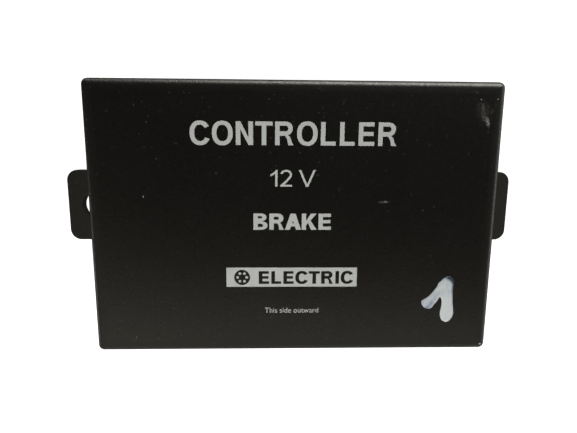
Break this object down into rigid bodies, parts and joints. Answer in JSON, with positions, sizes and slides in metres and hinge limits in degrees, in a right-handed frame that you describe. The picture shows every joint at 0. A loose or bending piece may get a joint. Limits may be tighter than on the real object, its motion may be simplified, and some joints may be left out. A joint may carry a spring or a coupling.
{
  "type": "brake controller unit",
  "caption": "Sealed black box with a base plate and two drilled ears, holding a brake control board, relay, trimmers and a harness socket.",
  "frame": {"origin": "centre of the base plate's mounting face, midway between the two ear holes", "axes": "+X along the two ears, +Z out of the front face, harness socket on the -Y side"},
  "size_m": [0.1454, 0.0728, 0.0336],
  "materials": {
    "case_black": "fine-textured black powder coat",
    "plate_black": "fine-textured black powder coat",
    "seal_rubber": "matt black moulded rubber",
    "zinc_steel": "bright zinc plate",
    "board_green": "green solder mask over glass laminate",
    "solder": "bright solder",
    "socket_plastic": "glass-filled black moulding",
    "tinned_brass": "tin-plated brass",
    "bare_aluminium": "mill-finish folded sheet",
    "epoxy_black": "matt moulded epoxy",
    "tinned_copper": "tin-plated copper",
    "pad_grey": "grey insulating pad",
    "nylon_white": "natural nylon",
    "can_aluminium": "drawn can",
    "sleeve_blue": "shrink sleeve",
    "ferrite": "coated powder core",
    "enamelled_copper": "enamelled copper wire",
    "relay_clear": "smoky clear cover",
    "relay_plastic": "moulded base",
    "soft_iron": "nickel-plated iron",
    "spring_copper": "phosphor bronze leaf",
    "fuse_tan": "translucent moulded body",
    "trimmer_blue": "moulded body",
    "chip_dark": "glazed film",
    "chip_tan": "sintered block",
    "resistor_beige": "lacquered body",
    "shunt_alloy": "bare resistance strip",
    "led_red": "tinted lens"
  },
  "bodies": {
    "base": {"axial_leads": "tinned_copper", "axial_resistors": "resistor_beige", "base_plate": "plate_black", "board_screws": "zinc_steel", "board_spacers": "tinned_brass", "bracket_screws": "zinc_steel", "capacitor_leads": "tinned_copper", "capacitor_sleeves": "sleeve_blue", "case_gasket": "seal_rubber", "chip_capacitors": "chip_tan", "chip_resistors": "chip_dark", "chip_terminals": "solder", "choke_core": "ferrite", "choke_winding": "enamelled_copper", "circuit_board": "board_green", "clock_crystal": "zinc_steel", "current_shunt": "shunt_alloy", "filter_capacitors": "can_aluminium", "fuse_clips": "tinned_brass", "fuse_holder": "socket_plastic", "gain_trimmer_body": "trimmer_blue", "heat_sink_bracket": "bare_aluminium", "limit_trimmer_body": "trimmer_blue", "microcontroller": "epoxy_black", "microcontroller_leads": "tinned_copper", "motion_sensor": "epoxy_black", "motion_sensor_leads": "tinned_copper", "output_transistors": "epoxy_black", "protection_diode": "epoxy_black", "relay_base": "relay_plastic", "relay_bobbin": "relay_plastic", "relay_coil": "enamelled_copper", "relay_core": "soft_iron", "relay_cover": "relay_clear", "relay_fixed_contacts": "spring_copper", "relay_pins": "tinned_brass", "relay_yoke": "soft_iron", "service_header": "socket_plastic", "service_header_pins": "tinned_brass", "smoothing_capacitors": "can_aluminium", "socket_pins": "tinned_brass", "socket_seal": "seal_rubber", "socket_shroud": "socket_plastic", "solder_joints": "solder", "status_led": "led_red", "transistor_bushes": "nylon_white", "transistor_pads": "pad_grey", "transistor_screws": "zinc_steel", "transistor_tabs": "tinned_copper", "trimmer_pins": "tinned_copper", "voltage_regulator": "epoxy_black"},
    "housing_shell": {"housing": "case_black"},
    "case_screw_set": {"case_screws": "zinc_steel"},
    "fuse": {"fuse_body": "fuse_tan", "fuse_element": "tinned_brass"},
    "gain_rotor": {"gain_trimmer_rotor": "nylon_white"},
    "limit_rotor": {"limit_trimmer_rotor": "nylon_white"},
    "armature": {"relay_armature": "soft_iron", "relay_contact_spring": "spring_copper"}
  },
  "joints": [
    {"name": "housing_lift", "type": "slide", "parent": "base", "child": "housing_shell", "axis": [0, 0, 1], "range_m": [0, 0.05]},
    {"name": "case_screws_out", "type": "slide", "parent": "base", "child": "case_screw_set", "axis": [0, 0, -1], "range_m": [0, 0.016]},
    {"name": "fuse_pull", "type": "slide", "parent": "base", "child": "fuse", "axis": [0, 0, 1], "range_m": [0, 0.008]},
    {"name": "gain_trimmer_turn", "type": "hinge", "parent": "base", "child": "gain_rotor", "pos_m": [0.0295, -0.0075, 0.0135], "axis": [0, 0, 1], "range_deg": [-130, 130]},
    {"name": "limit_trimmer_turn", "type": "hinge", "parent": "base", "child": "limit_rotor", "pos_m": [0.0295, -0.019, 0.0135], "axis": [0, 0, 1], "range_deg": [-130, 130]},
    {"name": "relay_armature_swing", "type": "hinge", "parent": "base", "child": "armature", "pos_m": [0.0243, 0.009, 0.02045], "axis": [0, 1, 0], "range_deg": [0, 3.9], "stiffness_Nm_per_rad": 0.02}
  ]
}
